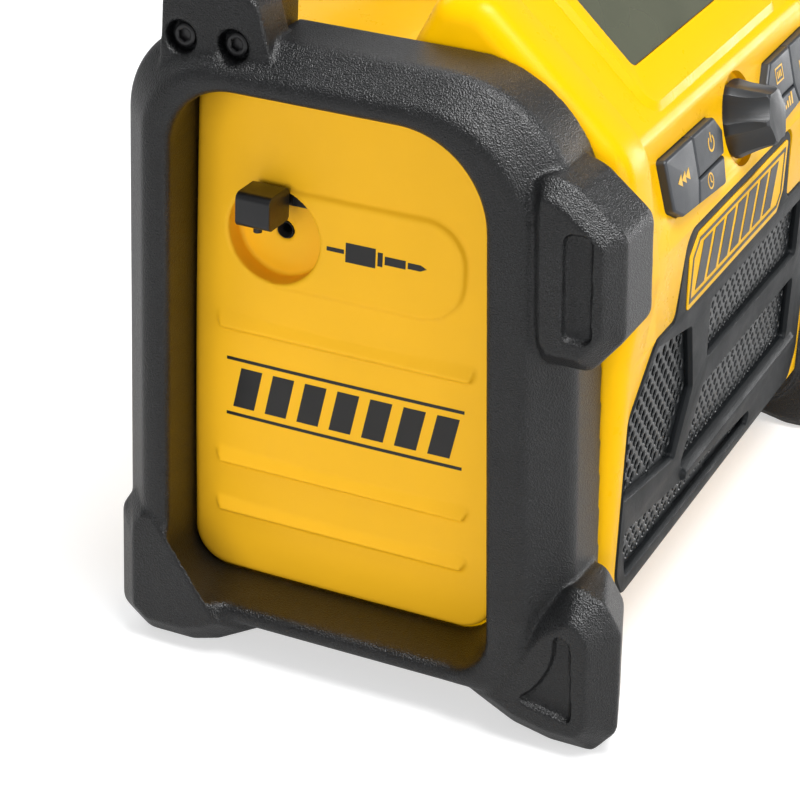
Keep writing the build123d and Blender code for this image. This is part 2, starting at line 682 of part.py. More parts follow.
def tact_switches():
    made = []
    for u, v in switch_places():
        foot = block(control, u - 3, u + 3, v - 3, v + 3, -board_deep, -board_deep + 1.2)
        made.append(foot + rod(control, u, v, 1.6, -board_deep + 1.2, -board_deep + switch_tall))
    return group(made)


def tuning_knob():
    low = -scoop_depth + 0.8
    top = low + knob_long
    grip = low + knob_skirt
    spindle = Plane(origin=control.from_local_coords((0, knob_v, 0)), x_dir=(1, 0, 0), z_dir=control.z_dir)
    waist = (knob_base_r + knob_tip_r) / 2 - 0.6
    section = make_face([
        Line((0, low), (knob_base_r - 0.8, low)), Line((knob_base_r - 0.8, low), (knob_base_r, low + 1)),
        Line((knob_base_r, low + 1), (knob_base_r, grip)),
        ThreePointArc((knob_base_r, grip), (waist, (grip + top) / 2), (knob_tip_r, top - 1)),
        Line((knob_tip_r, top - 1), (knob_tip_r - 1, top)), Line((knob_tip_r - 1, top), (0, top)),
        Line((0, top), (0, low))])
    knob = revolve(Plane.XZ * section, Axis.Z)
    taper = atan2(knob_base_r - knob_tip_r, top - grip)
    flute = rod(Plane.XY, 0, 0, flute_r, 0, knob_long + 6)
    for turn in range(knob_flutes):
        place = Pos(knob_base_r - flute_depth + flute_r, 0, grip + 0.6) * Rot(0, -degrees(taper), 0)
        knob -= Rot(0, 0, (turn + 0.5) * 360 / knob_flutes) * (place * flute)
    knob -= Pos(0, 0, low) * Cylinder(7.5, 5.4)
    knob -= Pos(0, 0, low) * Cylinder(shaft_r + shaft_gap, 2 * (10 - low))
    return spindle * knob


def encoder_body():
    body = block(control, -7, 7, knob_v - 7, knob_v + 7, -board_deep, -scoop_depth - wall)
    body += rod(control, 0, knob_v, bush_r, -scoop_depth - wall - 1, -1.2)
    body -= rod(control, 0, knob_v, rotor_r + 0.1, -board_deep + 0.6, -scoop_depth - wall - 0.6)
    return body - rod(control, 0, knob_v, shaft_r + shaft_gap, -board_deep + 0.6, 0)


def encoder_rotor():
    low, high = -board_deep + 1.8, -scoop_depth - wall - 0.8
    return tube(control, 0, knob_v, rotor_r, shaft_r + shaft_gap, low, high)


def encoder_shaft():
    return rod(control, 0, knob_v, shaft_r, -board_deep + 1.6, 10)


def encoder_nut():
    nut = slab(control, Pos(0, knob_v) * RegularPolygon(6.6, 6), -scoop_depth, -scoop_depth + 1.6)
    return nut - rod(control, 0, knob_v, bush_r + 0.05, -10, 5)


# ---------------------------------------------------------------- display
def display_lens():
    top = bezel_proud - lens_sunk
    return slab(screen, lens_outline(), top - lens_thick, top)


def display_module():
    middle = lens_low + lens_tall / 2
    reach = lens_half + 4
    return block(screen, -reach, reach, middle - 21, middle + 21, -wall - display_thick, -wall)


# ---------------------------------------------------------------- handle
def carry_handle():
    inner = cage_in
    bar = Rot(0, 90, 0) * extrude(RectangleRounded(bar_tall, bar_deep, 6), inner + 1, both=True)
    part = Pos(0, handle_y, handle_z) * bar
    joint_x = -half + lug_in + lug_thick
    arm = slab(side(joint_x), arm_outline(), 0, arm_thick)
    arm += box(joint_x, joint_x + tongue_thick, 44, 78, tongue_low, arm_low + 1)
    for y, z in handle_screws:
        arm -= rod(side(joint_x), y, z, pilot_r, -1, arm_thick - 2)
    return part + arm + mirrored(arm)


def handle_grip():
    outline = RectangleRounded(bar_tall + 2 * grip_wall, bar_deep + 2 * grip_wall, 8)
    core = RectangleRounded(bar_tall + 0.1, bar_deep + 0.1, 6.05)
    grip = extrude(outline, grip_half, both=True)
    for i in range(-7, 8):
        ring = extrude(offset(outline, 1) - offset(outline, -0.9), 0.8, both=True)
        grip -= Pos(0, 0, 7.4 * i) * ring
    grip -= extrude(core, grip_half + 1, both=True)
    return Pos(0, handle_y, handle_z) * (Rot(0, 90, 0) * grip)


# ---------------------------------------------------------------- inside and rear
def board_posts():
    """Posts on the floor of the front half that carry the main board."""
    floor = cage_low + body_inset + wall
    return [tube(Plane.XY, x, y, 3, pilot_r, floor - 0.5, floor + 8) for x, y in board_corners()]


def board_corners():
    return ((-54.0, -54.0), (54.0, -54.0), (-54.0, 2.0), (54.0, 2.0))


def main_board():
    z = cage_low + body_inset + wall + 8.0
    board = box(-60, 60, -60, 8, z, z + board_thick)
    for x, y in board_corners():
        board -= Pos(x, y, z) * Cylinder(1.6, 10)
    return board


def heat_sink():
    z = cage_low + body_inset + wall + 8.0 + board_thick
    sink = box(14, 52, -30, -27, z, z + 26)
    for i in range(7):
        x = 15 + 6 * i - 0.75
        sink += box(x, x + 1.5, -30, -14, z, z + 26)
    return sink


def transformer_core():
    floor = cage_low + body_inset + wall
    core = box(58, 100, 32, 66, floor, floor + 36)
    core -= box(66, 72, 20, 80, floor + 7, floor + 29) + box(86, 92, 20, 80, floor + 7, floor + 29)
    return core


def transformer_coil():
    floor = cage_low + body_inset + wall
    coil = box(66.2, 91.8, 28, 70, floor + 7.2, floor + 28.8)
    return coil - box(71.8, 86.2, 20, 80, floor - 1, floor + 60)


def battery_dock():
    top = bay_high
    y0, y1 = back_y - bay_deep, back_y - 1
    plate = box(-34, 34, y0, y1, top - 4, top)
    for s in (-1, 1):
        x0, x1 = sorted((s * 26, s * 32))
        plate += box(x0, x1, y0, y1 - 3, top - 14, top - 3)
        lip0, lip1 = sorted((s * 21, s * 32))
        plate += box(lip0, lip1, y0, y1 - 3, top - 14, top - 11.5)
    return plate


def terminal_block():
    top, y0 = bay_high, back_y - bay_deep
    lump = box(-14, 14, y0, y0 + 16, top - 12, top - 4)
    blades = [box(x - 0.4, x + 0.4, y0 + 15, y0 + 30, top - 10.5, top - 5.5) for x in (-9, 0, 9)]
    return lump + blades


def power_inlet():
    u, v = -inlet_x, inlet_z
    wide, tall = inlet_wide / 2, inlet_tall / 2
    lump = block(back, u - wide - 3, u + wide + 3, v - tall - 3, v + tall + 3, 0, 1.6)
    lump += block(back, u - wide + 0.3, u + wide - 0.3, v - tall + 0.3, v + tall - 0.3, -18, 0.5)
    lump -= slab(back, Pos(u, v) * SlotOverall(18, 10), -14, 5)
    return lump + [rod(back, u + s * 4.3, v, 1.2, -15, -4) for s in (-1, 1)]


# ---------------------------------------------------------------- antenna
whip_face = back_y - channel_depth                # the floor of the channel it lies in
whip_y = whip_face + 3.0 + whip_base_r - 1.5      # height of the tilt pin


def antenna_swivel():
    """Turning foot with two ears; its stud goes through the housing wall."""
    foot = rod(back, -whip_x, whip_z, whip_base_r, -channel_depth + 0.1, -channel_depth + 3)
    foot += rod(back, -whip_x, whip_z, whip_pivot_r, -channel_depth - wall - 3, -channel_depth + 1)
    for s in (-1, 1):
        ear = Pos(whip_x, whip_y, whip_z + s * 3.1) * Cylinder(3.4, 2.0)
        web = box(whip_x - 3.4, whip_x + 3.4, whip_face + 2, whip_y,
                  whip_z + s * 3.1 - 1, whip_z + s * 3.1 + 1)
        foot += ear + web
    return foot - Pos(whip_x, whip_y, whip_z) * Cylinder(1.05, 20)


def antenna_washer():
    inner = -channel_depth - wall
    return tube(back, -whip_x, whip_z, 6.0, whip_pivot_r + 0.05, inner - 1.6, inner - 0.1)


def antenna_pin():
    return Pos(whip_x, whip_y, whip_z) * Cylinder(1.0, 8.0)


def antenna_whip():
    """Three drawn-in sections, folded along the channel towards -X."""
    eye = Pos(whip_x, whip_y, whip_z) * Cylinder(3.2, 3.8)
    line = Plane(origin=(whip_x, whip_y, whip_z), x_dir=(0, 1, 0), z_dir=(-1, 0, 0))
    whip = eye + rod(line, 0, 0, 1.8, 2, 12) + rod(line, 0, 0, whip_r, 7, whip_long - 26)
    whip += rod(line, 0, 0, whip_r - 0.7, whip_long - 27, whip_long - 14)
    whip += rod(line, 0, 0, whip_r - 1.4, whip_long - 15, whip_long - 5)
    whip += rod(line, 0, 0, whip_r, whip_long - 6, whip_long)
    return whip - Pos(whip_x, whip_y, whip_z) * Cylinder(1.05, 20)


# ---------------------------------------------------------------- fasteners
def housing_screws():
    reach = back_y - split_y - 20 + 12
    return group(screw(back, -x, z, -20, reach, pilot_r - 0.02) for x, z in post_places())


def cage_screws():
    made = []
    for s in (-1, 1):
        inside = Plane(origin=(s * (wall_x - wall), 0, 0), x_dir=(0, 1, 0), z_dir=(-s, 0, 0))
        for y, z in cage_screw_places():
            v = z if s < 0 else -z
            made.append(screw(inside, y, v, 0, 12, pilot_r - 0.02, 2.5))
    return group(made)


def handle_bolts():
    made = []
    for y, z in handle_screws:
        left = side(-half)
        made.append(rod(left, y, z, head_r + 0.6, 8.0, 11.0) + rod(left, y, z, pilot_r - 0.02, 10.5, 33))
    return group(made + [mirrored(m) for m in made])


def board_screws():
    z = cage_low + body_inset + wall + 8.0 + board_thick
    return group(screw(Plane.XY, x, y, z, 6, pilot_r - 0.02) for x, y in board_corners())


# ---------------------------------------------------------------- assembly
def pieces():
    made = {
        "left_roll_cage": roll_cage, "right_roll_cage": lambda: mirrored(roll_cage()),
        "front_housing": front_housing, "rear_housing": rear_housing,
        "left_end_panel": lambda: end_panel(True), "right_end_panel": lambda: mirrored(end_panel(False)),
        "left_grille_mesh": lambda: perforated(hex_opening()),
    }
    for name, opening in zip(("upper", "middle", "lower"), row_openings()):
        made[name + "_grille_mesh"] = lambda opening=opening: perforated(opening)
    for end, x in (("left", -speaker_x), ("right", speaker_x)):
        for make in (speaker_frame, speaker_magnet, speaker_cone, speaker_surround, speaker_dust_cap):
            made[f"{end}_{make.__name__}"] = lambda make=make, x=x: speaker_place(x) * make()
    mirror_names = {"seek_down_key": "seek_up_key", "power_key": "source_key", "clock_key": "preset_key"}
    for name, other in mirror_names.items():
        made[name] = lambda name=name: key(name)
        made[other] = lambda name=name: mirror(key(name), Plane.YZ.offset(control_mid))
    for make in (aux_jack, aux_anchor, aux_cover, aux_hinge_pin, speaker_grille, name_plate, speaker_screws,
                 control_board, tact_switches, tuning_knob, encoder_body, encoder_rotor, encoder_shaft,
                 encoder_nut, display_lens, display_module, carry_handle, handle_grip, main_board, heat_sink,
                 transformer_core, transformer_coil, battery_dock, terminal_block, power_inlet,
                 antenna_swivel, antenna_washer, antenna_pin, antenna_whip, housing_screws, cage_screws,
                 handle_bolts, board_screws):
        made[make.__name__] = make
    return made


for name, make in pieces().items():
    export_step(make(), f"parts/{name}.step")
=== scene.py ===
# Jobsite radio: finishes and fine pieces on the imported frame.
# Metres. +X runs to the plain end, -Y is the control side, +Z is up.
import bpy
import bmesh
import json
from math import cos, pi, radians, sin
from mathutils import Matrix, Vector


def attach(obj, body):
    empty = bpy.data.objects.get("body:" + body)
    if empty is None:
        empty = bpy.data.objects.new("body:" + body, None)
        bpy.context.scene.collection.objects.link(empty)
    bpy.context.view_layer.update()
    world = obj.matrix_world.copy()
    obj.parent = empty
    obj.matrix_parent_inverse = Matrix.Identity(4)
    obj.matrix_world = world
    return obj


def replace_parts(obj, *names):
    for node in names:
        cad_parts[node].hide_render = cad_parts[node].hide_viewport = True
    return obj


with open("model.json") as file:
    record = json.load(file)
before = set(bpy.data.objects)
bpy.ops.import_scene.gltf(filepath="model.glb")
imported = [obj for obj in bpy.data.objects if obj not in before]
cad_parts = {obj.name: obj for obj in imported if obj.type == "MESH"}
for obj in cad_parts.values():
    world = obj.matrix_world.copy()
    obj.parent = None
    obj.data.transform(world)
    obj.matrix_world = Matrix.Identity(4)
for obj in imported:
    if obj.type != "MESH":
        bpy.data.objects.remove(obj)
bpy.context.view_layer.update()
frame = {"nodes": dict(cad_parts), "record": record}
nodes = frame["nodes"]
print("frame loaded,", len(nodes), "nodes")

mm = 0.001


# nodes: a tree gets them with their settings, values and links in one call
def setInputs(tree, node, inputs):
    for socket, value in inputs.items():
        if isinstance(value, bpy.types.NodeSocket):
            tree.links.new(value, node.inputs[socket])
        else:
            node.inputs[socket].default_value = value


def addNode(tree, kind, inputs=None, **settings):
    made = tree.nodes.new(kind)
    for key, value in settings.items():
        setattr(made, key, value)
    setInputs(tree, made, inputs or {})
    return made


def maths(tree, operation, first, second=0.0):
    return addNode(tree, "ShaderNodeMath", {0: first, 1: second}, operation=operation).outputs[0]


# camera
view = {
    "place": (-0.855787, -0.316221, 0.495112),
    "right": (0.414261, -0.909273, 0.040127),
    "down": (-0.388072, -0.216340, -0.895878),
    "look": (0.823279, 0.355555, -0.442484),
    "lens": 117.0, "sensor": 36.0, "near": 0.05, "far": 30.0,
}


def makeCamera():
    right, down, look = (Vector(view[k]) for k in ("right", "down", "look"))
    turn = Matrix((right, -down, -look)).transposed()
    data = bpy.data.cameras.new("camera")
    data.lens, data.sensor_width = view["lens"], view["sensor"]
    data.clip_start, data.clip_end = view["near"], view["far"]
    camera = bpy.data.objects.new("camera", data)
    camera.matrix_world = Matrix.Translation(view["place"]) @ turn.to_4x4()
    bpy.context.collection.objects.link(camera)
    bpy.context.scene.camera = camera


# lamps: all face the middle of the radio, one is for gloss alone and one for matt light alone
lampAim = Vector((0, 0, 0.12))
lamps = {
    "key": {"place": (-0.4, -0.6, 2.0), "size": 0.9, "power": 32.0},
    "over": {"place": (1.2, 0.6, 1.3), "size": 0.9, "power": 5.0},
    "sheen": {"place": (-0.3, -0.8, 1.9), "size": 1.0, "power": 34.0, "matt": False},
    "low": {"place": (1.9, -0.95, 0.2), "size": 0.6, "power": 10.0},
    "front": {"place": (-0.3, -2.0, 0.5), "size": 1.2, "power": 16.0},
    "side": {"place": (-2.3, 0.1, 0.35), "size": 1.5, "power": 34.0, "gloss": False},
    "rim": {"place": (0.3, 1.9, 1.9), "size": 1.2, "power": 13.0},
}


def makeLamp(name, place, size, power, matt=True, gloss=True):
    data = bpy.data.lights.new(name, "AREA")
    data.shape, data.size, data.energy = "DISK", size, power
    lamp = bpy.data.objects.new(name, data)
    turn = (lampAim - Vector(place)).to_track_quat("-Z", "Y").to_matrix()
    lamp.matrix_world = Matrix.Translation(place) @ turn.to_4x4()
    lamp.visible_diffuse, lamp.visible_glossy = matt, gloss
    bpy.context.collection.objects.link(lamp)


# room and floor: bright to the camera, partly so to shiny surfaces, and plain to other rays
room = {"tint": (0.97, 0.98, 1.0, 1), "light": 0.25, "backdrop": 1.0, "mirrored": 0.10}
floor = {"reach": 4.0, "grey": 0.6, "glow": 0.56, "mirrored": 0.35}


def cameraMask(tree, mirrored):
    # rays that look at the background, straight or through glass, and a share of the mirrored ones
    paths = addNode(tree, "ShaderNodeLightPath").outputs
    seen = maths(tree, "MAXIMUM", paths["Is Camera Ray"], paths["Is Transmission Ray"])
    return maths(tree, "MAXIMUM", seen, maths(tree, "MULTIPLY", paths["Is Glossy Ray"], mirrored))


def makeWorld():
    world = bpy.data.worlds.new("room")
    world.use_nodes = True
    tree = world.node_tree
    tree.nodes.clear()
    soft = addNode(tree, "ShaderNodeBackground", {"Color": room["tint"], "Strength": room["light"]})
    plain = addNode(tree, "ShaderNodeBackground", {"Color": (1, 1, 1, 1), "Strength": room["backdrop"]})
    mask = cameraMask(tree, room["mirrored"])
    mix = addNode(tree, "ShaderNodeMixShader", {0: mask, 1: soft.outputs[0], 2: plain.outputs[0]})
    addNode(tree, "ShaderNodeOutputWorld", {"Surface": mix.outputs[0]})
    bpy.context.scene.world = world


def makeFloor():
    reach, grey = floor["reach"], floor["grey"]
    corners = [(-reach, -reach, 0), (reach, -reach, 0), (reach, reach, 0), (-reach, reach, 0)]
    mesh = bpy.data.meshes.new("floor")
    mesh.from_pydata(corners, [], [(0, 1, 2, 3)])
    ground = bpy.data.objects.new("floor", mesh)
    bpy.context.collection.objects.link(ground)
    paint = bpy.data.materials.new("pale_floor")
    paint.use_nodes = True
    tree = paint.node_tree
    tree.nodes.clear()
    matt = addNode(tree, "ShaderNodeBsdfDiffuse", {"Color": (grey, grey, grey, 1)})
    glow = addNode(tree, "ShaderNodeEmission", {"Strength": floor["glow"]})
    lit = addNode(tree, "ShaderNodeAddShader", {0: matt.outputs[0], 1: glow.outputs[0]})
    mask = cameraMask(tree, floor["mirrored"])
    mix = addNode(tree, "ShaderNodeMixShader", {0: mask, 1: matt.outputs[0], 2: lit.outputs[0]})
    addNode(tree, "ShaderNodeOutputMaterial", {"Surface": mix.outputs[0]})
    mesh.materials.append(paint)


makeCamera()
makeWorld()
makeFloor()
for lampName, lampValues in lamps.items():
    makeLamp(lampName, **lampValues)
bpy.context.scene.view_settings.view_transform = "Standard"
print("camera, floor and", len(lamps), "lamps set")


# finishes: every one has a slow drift of colour and gloss, and all but the window have grain in their bump
def linear(colour):
    return tuple(c / 12.92 if c <= 0.04045 else ((c + 0.055) / 1.055) ** 2.4 for c in colour)


def startFinish(name):
    finish = bpy.data.materials.new(name)
    finish.use_nodes = True
    tree = finish.node_tree
    coords = addNode(tree, "ShaderNodeTexCoord").outputs["Object"]
    return finish, tree, coords


def shade(tree, inputs):
    setInputs(tree, tree.nodes["Principled BSDF"], inputs)


def noise(tree, coords, size, detail=2.0, rough=0.5):
    # size in millimetres of one blotch
    made = addNode(tree, "ShaderNodeTexNoise", {
        "Vector": coords, "Scale": 1 / (size * mm), "Detail": detail, "Roughness": rough})
    return made.outputs["Fac"]


def spread(tree, value, low, high, to=(0.0, 1.0)):
    made = addNode(tree, "ShaderNodeMapRange", {
        "Value": value, "From Min": low, "From Max": high, "To Min": to[0], "To Max": to[1]})
    return made.outputs["Result"]


def mixColours(tree, share, first, second):
    # sockets 6 and 7 are the two colours, and output 2 is their mix
    made = addNode(tree, "ShaderNodeMix", {0: share, 6: (*linear(first), 1), 7: (*linear(second), 1)},
                   data_type="RGBA")
    return made.outputs[2]


def bump(tree, height, depth, strength, under=None):
    # depth in millimetres
    made = addNode(tree, "ShaderNodeBump", {"Height": height, "Distance": depth * mm, "Strength": strength})
    if under:
        tree.links.new(under, made.inputs["Normal"])
    return made.outputs["Normal"]


plastic = {
    "drift": {"size": 55, "detail": 3.0},
    "patches": {"size": 12, "detail": 4.0, "rough": 0.6},
    "duller": 0.07, "shinier": 0.05, "bump": 0.6,
}


def mouldedFinish(name, colour, drift, gloss, grain, depth, level=0.5):
    # plastic from a grained mould: fine bump, a little drift of colour, gloss that varies slowly
    finish, tree, coords = startFinish(name)
    slow = spread(tree, noise(tree, coords, **plastic["drift"]), 0.3, 0.7)
    darker = tuple(c * (1 - drift) for c in colour)
    roughest, smoothest = gloss + plastic["duller"], gloss - plastic["shinier"]
    patchy = noise(tree, coords, **plastic["patches"])
    shade(tree, {
        "Base Color": mixColours(tree, slow, darker, colour),
        "Roughness": spread(tree, patchy, 0.3, 0.7, (smoothest, roughest)),
        "Normal": bump(tree, noise(tree, coords, grain), depth, plastic["bump"]),
        "Specular IOR Level": level,
    })
    return finish


rubber = {
    "colour": (0.02, 0.022, 0.025), "pale": (0.26, 0.268, 0.28), "gloss": 0.33, "level": 0.5,
    "pebble": 0.55, "softness": 0.7, "depth": 0.34, "strength": 0.75,
    "ragged": {"size": 0.385, "detail": 3.0, "rough": 0.65}, "raggedDepth": 0.204, "raggedStrength": 0.6,
    "scuffAndSparklePatches": {"size": 20, "detail": 5.0, "rough": 0.7}, "duller": 0.12, "shinier": 0.1,
}


def pebbledRubber(name):
    # coarse leather grain whose tops catch the light; the pale speckle on the tops is partly scuffing and
    # partly painted sparkle
    finish, tree, coords = startFinish(name)
    cells = addNode(tree, "ShaderNodeTexVoronoi", {
        "Vector": coords, "Scale": 1 / (rubber["pebble"] * mm), "Smoothness": rubber["softness"],
    }, feature="SMOOTH_F1").outputs["Distance"]
    ragged = noise(tree, coords, **rubber["ragged"])
    # pale speckle in the colour: partly scuffs, partly painted sparkle standing in for glints on the grain
    scuffAndSparklePatches = spread(tree, noise(tree, coords, **rubber["scuffAndSparklePatches"]), 0.35, 0.75, (0.25, 0.9))
    wearAndSparkle = maths(tree, "MULTIPLY", spread(tree, ragged, 0.54, 0.68), scuffAndSparklePatches)
    roughest, smoothest = rubber["gloss"] + rubber["duller"], rubber["gloss"] - rubber["shinier"]
    coarse = bump(tree, cells, rubber["depth"], rubber["strength"])
    shade(tree, {
        "Base Color": mixColours(tree, wearAndSparkle, rubber["colour"], rubber["pale"]),
        "Roughness": spread(tree, ragged, 0.3, 0.7, (smoothest, roughest)),
        "Normal": bump(tree, ragged, rubber["raggedDepth"], rubber["raggedStrength"], coarse),
        "Specular IOR Level": rubber["level"],
    })
    return finish


metal = {
    "stretch": (1, 1, 12), "streaks": {"size": 4, "detail": 4.0, "rough": 0.7},
    "dull": 0.82, "duller": 0.1, "shinier": 0.05, "depth": 0.02, "strength": 0.4,
}


def metalFinish(name, colour, gloss):
    # drawn or turned metal: fine streaks that dull it in places
    finish, tree, coords = startFinish(name)
    drawn = addNode(tree, "ShaderNodeMapping", {"Vector": coords, "Scale": metal["stretch"]}).outputs[0]
    streaks = noise(tree, drawn, **metal["streaks"])
    dull = tuple(c * metal["dull"] for c in colour)
    roughest, smoothest = gloss + metal["duller"], gloss - metal["shinier"]
    shade(tree, {
        "Base Color": mixColours(tree, spread(tree, streaks, 0.35, 0.65), dull, colour),
        "Roughness": spread(tree, streaks, 0.3, 0.7, (smoothest, roughest)),
        "Normal": bump(tree, streaks, metal["depth"], metal["strength"]),
        "Metallic": 1.0,
    })
    return finish


window = {
    "dark": (0.285, 0.30, 0.22), "light": (0.33, 0.34, 0.26), "cloud": {"size": 30},
    "smear": {"size": 9, "detail": 5.0, "rough": 0.7}, "gloss": (0.12, 0.22),
    "coat": 0.6, "coatGloss": 0.04,
}


def windowFinish(name):
    # a liquid crystal window: grey green behind a polished face
    finish, tree, coords = startFinish(name)
    cloudy = spread(tree, noise(tree, coords, **window["cloud"]), 0.3, 0.7)
    shade(tree, {
        "Base Color": mixColours(tree, cloudy, window["dark"], window["light"]),
        "Roughness": spread(tree, noise(tree, coords, **window["smear"]), 0.4, 0.8, window["gloss"]),
        "Coat Weight": window["coat"],
        "Coat Roughness": window["coatGloss"],
    })
    return finish


# one finish for each material slot; grain and its depth in millimetres
finishes = {
    "cage_black": pebbledRubber("pebbled_rubber"),
    "body_yellow": mouldedFinish("moulded_yellow", (1.0, 0.76, 0.0), drift=0.02, gloss=0.3,
                                 grain=1.1, depth=0.014, level=0.1),
    "panel_amber": mouldedFinish("moulded_amber", (0.99, 0.748, 0.14), drift=0.03, gloss=0.40,
                                 grain=0.9, depth=0.016, level=0.24),
    "grille_dark": mouldedFinish("grained_charcoal", (0.085, 0.096, 0.105), drift=0.14, gloss=0.42,
                                 grain=0.7, depth=0.16, level=0.14),
    "mesh_dark": mouldedFinish("painted_mesh", (0.11, 0.121, 0.129), drift=0.15, gloss=0.28,
                               grain=0.6, depth=0.04, level=0.4),
    "plate_yellow": mouldedFinish("plate_yellow", (1.0, 0.765, 0.0), drift=0.04, gloss=0.4,
                                  grain=0.8, depth=0.02, level=0.12),
    "key_grey": mouldedFinish("key_rubber", (0.185, 0.203, 0.225), drift=0.1, gloss=0.42,
                              grain=0.4, depth=0.06),
    "knob_grey": mouldedFinish("knob_grey", (0.17, 0.18, 0.192), drift=0.12, gloss=0.36,
                               grain=0.4, depth=0.05, level=0.45),
    "lens_green": windowFinish("display_window"),
    "dark_plastic": mouldedFinish("black_plastic", (0.12, 0.12, 0.125), drift=0.2, gloss=0.42,
                                  grain=0.5, depth=0.06),
    "soft_black": mouldedFinish("soft_rubber", (0.10, 0.10, 0.105), drift=0.15, gloss=0.36,
                                grain=0.5, depth=0.06),
    "screw_steel": metalFinish("screw_steel", (0.70, 0.70, 0.72), gloss=0.3),
    "mast_chrome": metalFinish("mast_chrome", (0.86, 0.86, 0.88), gloss=0.12),
    "board_green": mouldedFinish("board_green", (0.08, 0.36, 0.20), drift=0.2, gloss=0.35,
                                 grain=1.0, depth=0.04),
    "ferrite": mouldedFinish("ferrite", (0.22, 0.22, 0.23), drift=0.2, gloss=0.6, grain=0.8, depth=0.1),
    "core_iron": metalFinish("core_iron", (0.46, 0.46, 0.48), gloss=0.5),
    "winding_copper": metalFinish("winding_copper", (0.78, 0.45, 0.26), gloss=0.3),
    "sink_aluminium": metalFinish("sink_aluminium", (0.78, 0.78, 0.80), gloss=0.38),
    "cone_paper": mouldedFinish("cone_paper", (0.17, 0.17, 0.18), drift=0.2, gloss=0.8,
                                grain=1.2, depth=0.2),
}
inkYellow = mouldedFinish("ink_yellow", (0.93, 0.72, 0.16), drift=0.03, gloss=0.4, grain=0.5, depth=0.02)
inkDark = mouldedFinish("ink_dark", (0.075, 0.07, 0.065), drift=0.1, gloss=0.34, grain=0.5, depth=0.02)

slotOf = {s["node"]: s["material_slot"] for s in frame["record"]["subparts"]}
bodyOf = {n: b for b, members in frame["record"]["behaviour"]["bodies"].items() for n in members}
for nodeName, node in nodes.items():
    node.data.materials.clear()
    node.data.materials.append(finishes[slotOf[nodeName]])
print("finishes on", len(slotOf), "nodes")


# faces that flat work is laid on: across, up, and outwards from an origin in millimetres
def layOn(origin, across, up):
    across, up = Vector(across), Vector(up)
    turn = Matrix((across, up, across.cross(up))).transposed()
    return Matrix.Translation(Vector(origin) * mm) @ turn.to_4x4()


lean = radians(15.0)      # the control face leans back
faces = {
    "control": layOn((3, -78, 158), (1, 0, 0), (0, sin(lean), cos(lean))),
    "front": layOn((0, -77, 0), (1, 0, 0), (0, 0, 1)),
    "socketEnd": layOn((0, 0, 0), (0, -1, 0), (0, 0, 1)),
}


# pieces
def linked(name, mesh, body, finish):
    piece = bpy.data.objects.new(name, mesh)
    bpy.context.collection.objects.link(piece)
    mesh.materials.clear()
    mesh.materials.append(finish)
    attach(piece, body)
    return piece


def seedOf(name, mesh):
    seed = bpy.data.objects.new(name + "_seed", mesh)
    bpy.context.collection.objects.link(seed)
    return seed


def finished(seed):
    # the seed's mesh with its modifiers taken in
    bpy.context.view_layer.update()
    mesh = bpy.data.meshes.new_from_object(seed.evaluated_get(bpy.context.evaluated_depsgraph_get()))
    bpy.data.objects.remove(seed)
    return mesh


def throughTree(name, source, tree, values):
    # what a geometry tree makes of the source, with its faces turned outwards
    seed = seedOf(name, source)
    grower = seed.modifiers.new("grow", "NODES")
    grower.node_group = tree
    for item in tree.interface.items_tree:
        if item.item_type == "SOCKET" and item.in_out == "INPUT" and item.name in values:
            grower[item.identifier] = values[item.name]
    mesh = finished(seed)
    work = bmesh.new()
    work.from_mesh(mesh)
    bmesh.ops.recalc_face_normals(work, faces=work.faces)
    work.to_mesh(mesh)
    work.free()
    return mesh


weld = {"print": 2e-6, "node": 1e-5}      # points closer than this become one


def weldedNode(name):
    # a copy of a node's mesh with its loose triangles joined, and the bmesh to work on it further
    source, work = nodes[name].data.copy(), bmesh.new()
    work.from_mesh(source)
    bmesh.ops.remove_doubles(work, verts=work.verts, dist=weld["node"])
    return source, work


# outlines in millimetres
def arc(cx, cy, radius, start, end, steps):
    return [(cx + radius * cos(radians(start + (end - start) * i / steps)),
             cy + radius * sin(radians(start + (end - start) * i / steps))) for i in range(steps + 1)]


def stroke(points, width, closed=False):
    # quads along a line of points, mitred where it turns
    sharpest = 0.4
    spots = [Vector(p) for p in points]
    if closed:
        spots = [spots[-1], *spots, spots[0], spots[1]]
    sides = []
    for i, spot in enumerate(spots):
        before = spot - spots[i - 1] if i else spots[1] - spot
        after = spots[i + 1] - spot if i + 1 < len(spots) else before
        a, b = (Vector((-d.y, d.x)).normalized() for d in (before, after))
        out = (a + b).normalized()
        reach = width / 2 / max(out.dot(a), sharpest)
        sides.append((spot + out * reach, spot - out * reach))
    if closed:
        sides = sides[1:-1]
    return [[a[0][:], a[1][:], b[1][:], b[0][:]] for a, b in zip(sides, sides[1:])]


def slanted(u0, u1, v0, v1, slope=0.0):
    shift = (v1 - v0) * slope
    return [(u0, v0), (u1, v0), (u1 + shift, v1), (u0 + shift, v1)]


def widened(points, by):
    # the same outline, moved out on every side
    area = sum(a[0] * b[1] - b[0] * a[1] for a, b in zip(points, points[1:] + points[:1]))
    turn = 1 if area > 0 else -1
    made = []
    for i, point in enumerate(points):
        spot, last, following = Vector(point), Vector(points[i - 1]), Vector(points[(i + 1) % len(points)])
        a, b = (spot - last).normalized(), (following - spot).normalized()
        na, nb = Vector((a.y, -a.x)) * turn, Vector((b.y, -b.x)) * turn
        out = (na + nb).normalized()
        made.append((spot + out * by / out.dot(na))[:])
    return made


